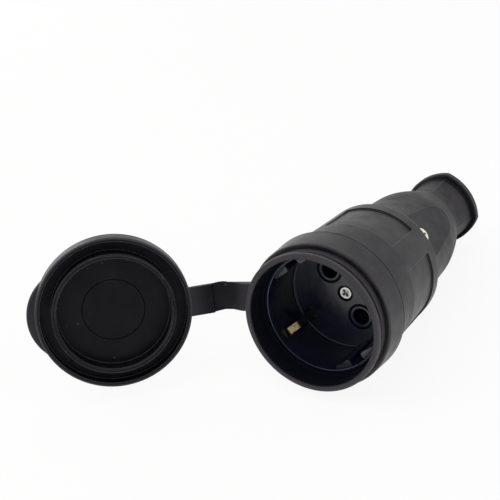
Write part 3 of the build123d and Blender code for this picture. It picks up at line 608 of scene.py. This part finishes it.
def insert_plastic():
    """Black moulded plastic, smoother than the rubber, with faint flow marks, and painted shade by a lowered
    shine in its gaps, grooves and rim.
    """
    look = settings().plastic
    tree = Tree("insert_plastic")
    tint = tree.between(tree.patches(**INSERT_FLOW), look.insert, shade(look.insert, INSERT_PALE))
    gloss = tree.uneven(look.gloss_low, look.gloss_high, **INSERT_GLOSS)
    hollows = tree.ranged(tree.openness(**INSERT_HOLLOWS), 0, 1, look.hollow_dull, 0)
    gloss = tree.joined("ADD", gloss, hollows)
    grain = tree.bump(**INSERT_GRAIN, under=tree.bump(**INSERT_WAVES))

    # Painted shade: the shine is lowered in the gap round the screw, in the grooves round the pin holes and
    # on the rim, so that they look dark
    radius = tree.reach(tree.place)
    lit = [
        tree.past(radius, look.screw_gap, PAINTED_SHADE_FADE),
        tree.ranged(radius, look.rim, look.rim + PAINTED_SHADE_FADE, 1, 0),
    ]
    for spring in SPRINGS:
        from_pin = tree.reach(tree.place, centre=pin_axis(spring))
        lit.append(tree.outside_ring(from_pin, look.groove_inner, look.groove_outer))
    shine = tree.ranged(tree.joined("MINIMUM", *lit), 0, 1, look.gap_shine, look.insert_shine)
    return tree.finish(
        Base_Color=tint, Roughness=gloss, Normal=grain, IOR=PLASTIC_IOR, Specular_IOR_Level=shine,
    )


def base_plastic():
    """Matt moulded plastic of the inner pieces."""
    look = settings().plastic
    tree = Tree("base_plastic")
    tint = tree.between(tree.patches(**BASE_PATCHES), look.base, shade(look.base, BASE_DARK))
    gloss = tree.uneven(look.base_low, look.base_high, **BASE_GLOSS)
    grain = tree.bump(**BASE_GRAIN)
    return tree.finish(Base_Color=tint, Roughness=gloss, Normal=grain, IOR=PLASTIC_IOR)


def contact_brass():
    """Stamped brass with drawn lines and dull patches, with painted shade on the brass deeper in."""
    look = settings().metal
    tree = Tree("contact_brass")
    rubbed = tree.between(tree.patches(**BRASS_TARNISH), look.brass, look.tarnish)
    # Painted shade on the brass deeper in than a set depth
    deep = tree.past(tree.along("Y"), look.brass_shade_from, BRASS_FADE)
    tint = tree.between(deep, rubbed, look.shaded_brass)
    gloss = tree.uneven(look.brass_low, look.brass_high, **BRASS_GLOSS)
    lines = tree.bump(**BRASS_LINES)
    return tree.finish(Base_Color=tint, Roughness=gloss, Normal=lines, Metallic=look.brass_metal)


def plated_steel(name, base, smooth, dull, shade_radius=0):
    """Plated or spring steel with an uneven film, painted shade in its hollows, and on the centre screw
    painted shade in its middle up to a radius and round its head's edge.
    """
    look = settings().metal
    tree = Tree(name)
    tint = tree.between(tree.patches(**STEEL_FILM), base, shade(base, STEEL_DULL))
    # Painted shade in the steel's hollows
    tint = tree.between(tree.openness(**STEEL_SHADED_HOLLOWS), shade(base, STEEL_HOLLOW_SHADE), tint)
    if shade_radius:
        radius = tree.reach(tree.place)
        # Painted shade: the centre screw's middle and the edge of its head are darker
        worn = tree.ranged(radius, MIDDLE_SHADE_START * shade_radius, shade_radius, look.middle_shade, 0)
        tint = tree.between(worn, tint, shade(base, STEEL_MIDDLE_SHADE))
        side = tree.past(radius, EDGE_SHADE_START * shade_radius, EDGE_SHADE_FADE * shade_radius)
        tint = tree.between(side, tint, shade(base, STEEL_EDGE_SHADE))
    gloss = tree.uneven(smooth, dull, **STEEL_GLOSS)
    pits = tree.bump(**STEEL_PITS)
    return tree.finish(Base_Color=tint, Roughness=gloss, Normal=pits, Metallic=look.steel_metal)


def dress(material, *names):
    """Give CAD nodes their finish."""
    for name in names:
        mesh = NODES[name].data
        mesh.materials.clear()
        mesh.materials.append(material)


class CONNECTOR_OT_housing(bpy.types.Operator):
    """Finish the rubber housing."""

    bl_idname = "connector.housing"
    bl_label = "Rubber housing"

    def execute(self, context):
        dress(housing_rubber(), "rubber_housing")
        return {"FINISHED"}


class CONNECTOR_OT_cap(bpy.types.Operator):
    """Finish the rubber cap."""

    bl_idname = "connector.cap"
    bl_label = "Rubber cap"

    def execute(self, context):
        dress(cap_rubber(), "cap")
        return {"FINISHED"}


def bend_point(first, first_way, last, last_way, t):
    """Place and direction at a share t of a smooth curve between two ends and their directions."""
    place = (
        first * (2 * t ** 3 - 3 * t ** 2 + 1)
        + first_way * (t ** 3 - 2 * t ** 2 + t)
        + last * (3 * t ** 2 - 2 * t ** 3)
        + last_way * (t ** 3 - t ** 2)
    )
    way = (
        first * (6 * t ** 2 - 6 * t)
        + first_way * (3 * t ** 2 - 4 * t + 1)
        + last * (6 * t - 6 * t ** 2)
        + last_way * (3 * t ** 2 - 2 * t)
    )
    return place, way.normalized()


def strap_path(sizes):
    """Sections along the strap as (centre, half thickness, half width), and the bend's first and last."""
    turn = OPENED.to_3x3()
    across = Vector((0, 0, sizes.width / 2))
    deep = Vector((0, 1, 0))
    depth = sizes.back - sizes.front
    middle = (sizes.front + sizes.back) / 2
    thin_middle = sizes.back - sizes.thin / 2

    # Root: it leaves the ring a little above the middle and thins towards the bend
    ring_middle = (sizes.ring_inner + sizes.ring_outer) / 2
    bend_start = sizes.taper + sizes.flat
    slope = (sizes.rise + sizes.fall) / (bend_start - ring_middle)
    stations = (
        (ring_middle, middle, depth),
        (sizes.root - sizes.edge, middle, depth),
        (sizes.root, middle, depth),
        (sizes.taper, thin_middle, sizes.thin),
        (sizes.taper + sizes.edge, thin_middle, sizes.thin),
    )
    sections = []
    for reach, level, thickness in stations:
        height = sizes.rise - slope * (reach - ring_middle)
        sections.append((Vector((-reach, level, height)), deep * thickness / 2, across))

    # Bend: from the root's flat to the low side of the plate, which is given in the shut cap's place
    plate_low = sizes.plate_top - sizes.plate
    plate_start = HINGE_POINT.x + sizes.plate_start
    first = Vector((-bend_start, thin_middle, -sizes.fall))
    last = OPENED @ Vector((plate_start, plate_low + sizes.thin / 2, -sizes.plate_drop))
    run = (last - first).length
    first_way = Vector((-1, 0, 0)) * run
    last_way = turn @ Vector((1, 0, 0)) * run
    last_deep = turn @ -deep
    last_across = turn @ across
    bend = (len(sections), len(sections) + sizes.steps)
    for i in range(sizes.steps + 1):
        t = i / sizes.steps
        centre, way = bend_point(first, first_way, last, last_way, t)
        side = across.lerp(last_across, t).normalized()
        side = (side - way * side.dot(way)).normalized() * sizes.width / 2
        normal = side.cross(way).normalized()
        if normal.dot(deep) < 0:
            normal = -normal
        sections.append((centre, normal * sizes.thin / 2, side))

    # Plate: its end is rounded on the upper side, and it runs into the skirt
    for angle in PLATE_ANGLES:
        inset = sizes.edge * (1 - math.sin(math.radians(angle)))
        x = plate_start + sizes.edge * (1 - math.cos(math.radians(angle)))
        place = OPENED @ Vector((x, (sizes.plate_top - inset + plate_low) / 2, -sizes.plate_drop))
        sections.append((place, last_deep * (sizes.plate - inset) / 2, last_across))
    place = OPENED @ Vector((-sizes.plate_end, (sizes.plate_top + plate_low) / 2, -sizes.plate_drop))
    sections.append((place, last_deep * sizes.plate / 2, last_across))
    return sections, bend


def rounded_section(centre, thick, wide, radius):
    """Points round a rectangle with rounded corners."""
    points = []
    thick_way = thick.normalized()
    wide_way = wide.normalized()
    radius = min(radius, thick.length * MOST_ROUND)
    for corner, (a, b) in enumerate(((1, 1), (-1, 1), (-1, -1), (1, -1))):
        middle = centre + thick_way * a * (thick.length - radius) + wide_way * b * (wide.length - radius)
        for i in range(CORNER_STEPS + 1):
            angle = math.radians(90 * corner + 90 * i / CORNER_STEPS)
            out = thick_way * radius * math.cos(angle)
            points.append(middle + out + wide_way * radius * math.sin(angle))
    return points


def ring_sections(sizes):
    """Sections of the ring in the groove, turned about the connector's axis."""
    middle = Vector(((sizes.ring_inner + sizes.ring_outer) / 2, (sizes.front + sizes.back) / 2, 0))
    radial = Vector(((sizes.ring_outer - sizes.ring_inner) / 2, 0, 0))
    along = Vector((0, (sizes.back - sizes.front) / 2, 0))
    outline = rounded_section(middle, radial, along, sizes.edge)
    turns = [Matrix.Rotation(2 * math.pi * i / RING_TURNS, 3, "Y") for i in range(RING_TURNS + 1)]
    return [[turn @ point for point in outline] for turn in turns]


def add_tube(mesh, rings, ends=True):
    """Skin rings of points into the mesh."""
    rows = [[mesh.verts.new(point) for point in ring] for ring in rings]
    count = len(rows[0])
    for a, b in zip(rows, rows[1:]):
        for i in range(count):
            mesh.faces.new((a[i], a[(i + 1) % count], b[(i + 1) % count], b[i]))
    if ends:
        mesh.faces.new(list(reversed(rows[0])))
        mesh.faces.new(rows[-1])


class CONNECTOR_OT_strap(bpy.types.Operator):
    """Build the retaining ring and strap as one piece in place of the CAD strap, shaped to meet the cap at
    its open rest.
    """

    bl_idname = "connector.strap"
    bl_label = "Strap and ring"

    def execute(self, context):
        sizes = settings().strap
        sections, bend = strap_path(sizes)
        work = bmesh.new()
        add_tube(work, [rounded_section(c, t, w, sizes.edge) for c, t, w in sections])
        add_tube(work, ring_sections(sizes), ends=False)
        bmesh.ops.remove_doubles(work, verts=work.verts, dist=WELD)
        bmesh.ops.recalc_face_normals(work, faces=work.faces)
        mesh = bpy.data.meshes.new("rubber_strap")
        work.to_mesh(mesh)
        work.free()
        strap = bpy.data.objects.new("rubber_strap", mesh)
        context.scene.collection.objects.link(strap)
        mesh.shade_smooth()
        mesh.set_sharp_from_angle(angle=SHARP_ANGLE)
        mesh.materials.append(strap_rubber())
        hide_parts("cap_strap")
        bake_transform(strap)
        return {"FINISHED"}


class CONNECTOR_OT_insert(bpy.types.Operator):
    """Finish the socket insert with its well."""

    bl_idname = "connector.insert"
    bl_label = "Socket insert"

    def execute(self, context):
        dress(insert_plastic(), "socket_insert")
        return {"FINISHED"}


class CONNECTOR_OT_base(bpy.types.Operator):
    """Finish the terminal base and the cord clamp."""

    bl_idname = "connector.base"
    bl_label = "Base and clamp"

    def execute(self, context):
        dress(base_plastic(), "terminal_base", "clamp_frame", "clamp_saddle")
        return {"FINISHED"}


class CONNECTOR_OT_contacts(bpy.types.Operator):
    """Finish the brass contacts, the earth clip and the spring rings."""

    bl_idname = "connector.contacts"
    bl_label = "Contacts"

    def execute(self, context):
        look = settings().metal
        dress(contact_brass(), "line_contact_a", "line_contact_b", "earth_clip", "earth_terminal")
        dress(plated_steel("spring_steel", look.spring, look.spring_low, look.spring_high), *SPRINGS)
        return {"FINISHED"}


class CONNECTOR_OT_screws(bpy.types.Operator):
    """Finish the plated screws and nuts."""

    bl_idname = "connector.screws"
    bl_label = "Screws and nuts"

    def execute(self, context):
        look = settings().metal
        gloss = (look.screw_low, look.screw_high)
        dress(
            plated_steel("screw_steel", look.zinc, *gloss),
            "line_screw_a", "line_screw_b", "earth_screw", "centre_nut", "clamp_nut",
        )
        dress(plated_steel("centre_steel", look.zinc, *gloss, look.middle_shade_radius), "centre_screw")
        dress(plated_steel("straw_steel", look.straw, *gloss), "clamp_screw")
        return {"FINISHED"}


def swung_points():
    """The cap's corners at even steps of its swing."""
    corners = [v.co for v in NODES["cap"].data.vertices]
    low, high = (math.radians(limit) for limit in SWING["range_deg"])
    points = []
    for step in range(SWING_STEPS + 1):
        swing = swung(low + (high - low) * step / SWING_STEPS)
        points += [swing @ corner for corner in corners]
    return points


def resting_plane():
    """Centre and normal of the plane under the mouth end, the tail and the cap's whole swing."""
    housing = [v.co for v in NODES["rubber_housing"].data.vertices]
    groups = (
        [p for p in housing if p.y < MOUTH_END],
        [p for p in housing if p.y > TAIL_START],
        swung_points(),
    )
    normal = Vector((0, 0, 1))
    for _ in range(PLANE_TRIES):
        mouth, tail, cap = (min(points, key=normal.dot) for points in groups)
        normal = (tail - mouth).cross(cap - mouth).normalized()
        if normal.z < 0:
            normal = -normal
    sunk = min(normal.dot(point - mouth) for points in groups for point in points)
    return (mouth + tail + cap) / 3 + normal * sunk, normal


def seen_directly(nodes, links):
    """Socket that is 1 where the camera, a reflection or a clear piece looks at a surface."""
    light_path = nodes.new("ShaderNodeLightPath")
    direct = nodes.new("ShaderNodeMath")
    direct.operation = "MAXIMUM"
    links.new(light_path.outputs["Is Camera Ray"], direct.inputs[0])
    links.new(light_path.outputs["Is Glossy Ray"], direct.inputs[1])
    through = nodes.new("ShaderNodeMath")
    through.operation = "MAXIMUM"
    links.new(direct.outputs[0], through.inputs[0])
    links.new(light_path.outputs["Is Transmission Ray"], through.inputs[1])
    return through.outputs[0]


def floor_finish():
    """Pale floor that the camera sees as white, with a soft part of its own shading."""
    look = settings().stage
    tree = Tree("floor_finish")
    nodes = tree.tree.nodes
    nodes.remove(tree.shader)
    own = tree.add("ShaderNodeBsdfDiffuse")
    mottle = tree.uneven(0, 1, look.floor_mottle)
    tree.join(tree.between(mottle, look.floor, shade(look.floor, FLOOR_PALE)), own.inputs["Color"])
    white = tree.add("ShaderNodeEmission")
    white.inputs["Color"].default_value = (1, 1, 1, 1)
    seen = tree.add("ShaderNodeMixShader")
    seen.inputs["Fac"].default_value = look.shadow
    tree.join(white.outputs[0], seen.inputs[1])
    tree.join(own.outputs[0], seen.inputs[2])
    upper = tree.add("ShaderNodeMixShader")
    tree.join(seen_directly(nodes, tree.tree.links), upper.inputs[0])
    tree.join(own.outputs[0], upper.inputs[1])
    tree.join(seen.outputs[0], upper.inputs[2])

    # The underside lets the camera through, because the floor is a tilted sheet
    both = tree.add("ShaderNodeMixShader")
    tree.join(tree.add("ShaderNodeNewGeometry").outputs["Backfacing"], both.inputs[0])
    tree.join(upper.outputs[0], both.inputs[1])
    tree.join(tree.add("ShaderNodeBsdfTransparent").outputs[0], both.inputs[2])
    tree.join(both.outputs[0], nodes["Material Output"].inputs["Surface"])
    return tree.material


def studio_room():
    """White room: a white backdrop where it is seen, and plain soft light on the object."""
    look = settings().stage
    world = bpy.data.worlds.new("studio_room")
    bpy.context.scene.world = world
    world.use_nodes = True
    nodes = world.node_tree.nodes
    links = world.node_tree.links
    nodes.clear()
    room = nodes.new("ShaderNodeBackground")
    room.inputs["Color"].default_value = (*look.room, 1)
    backdrop = nodes.new("ShaderNodeBackground")
    backdrop.inputs["Color"].default_value = (1, 1, 1, 1)

    # The white sweep ends in front, where the room is unlit: only reflections look there
    way = nodes.new("ShaderNodeVectorMath")
    way.operation = "DOT_PRODUCT"
    way.inputs[1].default_value = UNLIT_WAY
    links.new(nodes.new("ShaderNodeTexCoord").outputs["Generated"], way.inputs[0])
    unlit = nodes.new("ShaderNodeMapRange")
    unlit.inputs["From Min"].default_value = UNLIT_START
    unlit.inputs["From Max"].default_value = UNLIT_FULL
    unlit.inputs["To Min"].default_value = 1
    unlit.inputs["To Max"].default_value = look.unlit
    links.new(way.outputs["Value"], unlit.inputs["Value"])
    bright = nodes.new("ShaderNodeMath")
    bright.operation = "MAXIMUM"
    links.new(unlit.outputs["Result"], bright.inputs[0])
    links.new(nodes.new("ShaderNodeLightPath").outputs["Is Camera Ray"], bright.inputs[1])
    links.new(bright.outputs[0], backdrop.inputs["Strength"])
    mix = nodes.new("ShaderNodeMixShader")
    links.new(seen_directly(nodes, links), mix.inputs[0])
    links.new(room.outputs[0], mix.inputs[1])
    links.new(backdrop.outputs[0], mix.inputs[2])
    output = nodes.new("ShaderNodeOutputWorld")
    links.new(mix.outputs[0], output.inputs["Surface"])


def area_lamp(name, place, size, watts, tint, mirrored):
    """Soft lamp that faces the object, and shows in reflections or not."""
    lamp = bpy.data.lights.new(name, "AREA")
    lamp.shape = "DISK"
    lamp.size = size
    lamp.energy = watts
    lamp.color = tint
    piece = bpy.data.objects.new(name, lamp)
    piece.location = place
    piece.visible_glossy = mirrored
    piece.rotation_mode = "QUATERNION"
    piece.rotation_quaternion = (LAMP_TARGET - Vector(place)).to_track_quat("-Z", "Y")
    bpy.context.scene.collection.objects.link(piece)


class CONNECTOR_OT_stage(bpy.types.Operator):
    """Set the floor, the light and the camera."""

    bl_idname = "connector.stage"
    bl_label = "Stage"

    def execute(self, context):
        look = settings().stage
        scene = context.scene
        scene.view_settings.view_transform = "Standard"

        centre, normal = resting_plane()
        work = bmesh.new()
        bmesh.ops.create_circle(
            work, cap_ends=True, cap_tris=True, segments=FLOOR_SEGMENTS, radius=look.floor_reach,
        )
        lie = normal.to_track_quat("Z", "Y").to_matrix().to_4x4()
        bmesh.ops.transform(work, matrix=Matrix.Translation(centre) @ lie, verts=work.verts)
        mesh = bpy.data.meshes.new("floor")
        work.to_mesh(mesh)
        work.free()
        mesh.materials.append(floor_finish())
        floor = bpy.data.objects.new("floor", mesh)
        scene.collection.objects.link(floor)

        studio_room()
        for name, (place, size, tint, mirrored) in LAMPS.items():
            area_lamp(f"{name}_lamp", place, size, getattr(look, f"{name}_power"), tint, mirrored)

        # The columns of the camera's turn are its right, its up and its back
        camera = bpy.data.objects.new("camera", bpy.data.cameras.new("camera"))
        right = CAMERA_AHEAD.cross(Vector((0, 0, 1))).normalized()
        up = right.cross(CAMERA_AHEAD)
        turn = Matrix((right, up, -CAMERA_AHEAD)).transposed().to_4x4()
        camera.matrix_world = Matrix.Translation(CAMERA_PLACE) @ turn
        camera.data.sensor_width = CAMERA_SENSOR
        camera.data.lens = look.lens
        camera.data.clip_start, camera.data.clip_end = CAMERA_CLIP
        scene.collection.objects.link(camera)
        scene.camera = camera
        return {"FINISHED"}


class ConnectorSettings(bpy.types.PropertyGroup):
    """All settings of the connector and its stage."""

    rubber: PointerProperty(type=RubberSettings)
    plastic: PointerProperty(type=PlasticSettings)
    metal: PointerProperty(type=MetalSettings)
    strap: PointerProperty(type=StrapSettings)
    stage: PointerProperty(type=StageSettings)


STEPS = (
    CONNECTOR_OT_housing,
    CONNECTOR_OT_cap,
    CONNECTOR_OT_strap,
    CONNECTOR_OT_insert,
    CONNECTOR_OT_base,
    CONNECTOR_OT_contacts,
    CONNECTOR_OT_screws,
    CONNECTOR_OT_stage,
)


class CONNECTOR_PT_panel(bpy.types.Panel):
    """Lists the connector's steps and settings."""

    bl_idname = "CONNECTOR_PT_panel"
    bl_label = "Rubber socket connector"
    bl_space_type = "VIEW_3D"
    bl_region_type = "UI"
    bl_category = "Connector"

    def draw(self, context):
        for step in STEPS:
            self.layout.operator(step.bl_idname)
        groups = context.scene.connector
        for name in ConnectorSettings.__annotations__:
            box = self.layout.box()
            box.label(text=name.capitalize())
            group = getattr(groups, name)
            for key in group.__annotations__:
                box.prop(group, key)


CLASSES = (
    RubberSettings,
    PlasticSettings,
    MetalSettings,
    StrapSettings,
    StageSettings,
    ConnectorSettings,
    *STEPS,
    CONNECTOR_PT_panel,
)


def register():
    """Register the classes and put the settings on the scene."""
    for item in CLASSES:
        bpy.utils.register_class(item)
    bpy.types.Scene.connector = PointerProperty(type=ConnectorSettings)


def unregister():
    """Take the settings and the classes away again."""
    del bpy.types.Scene.connector
    for item in reversed(CLASSES):
        bpy.utils.unregister_class(item)


def main():
    """Register the classes, dress the connector and set the stage."""
    register()
    bpy.ops.connector.housing()
    bpy.ops.connector.cap()
    bpy.ops.connector.strap()
    bpy.ops.connector.insert()
    bpy.ops.connector.base()
    bpy.ops.connector.contacts()
    bpy.ops.connector.screws()
    bpy.ops.connector.stage()


if __name__ == "__main__":
    main()
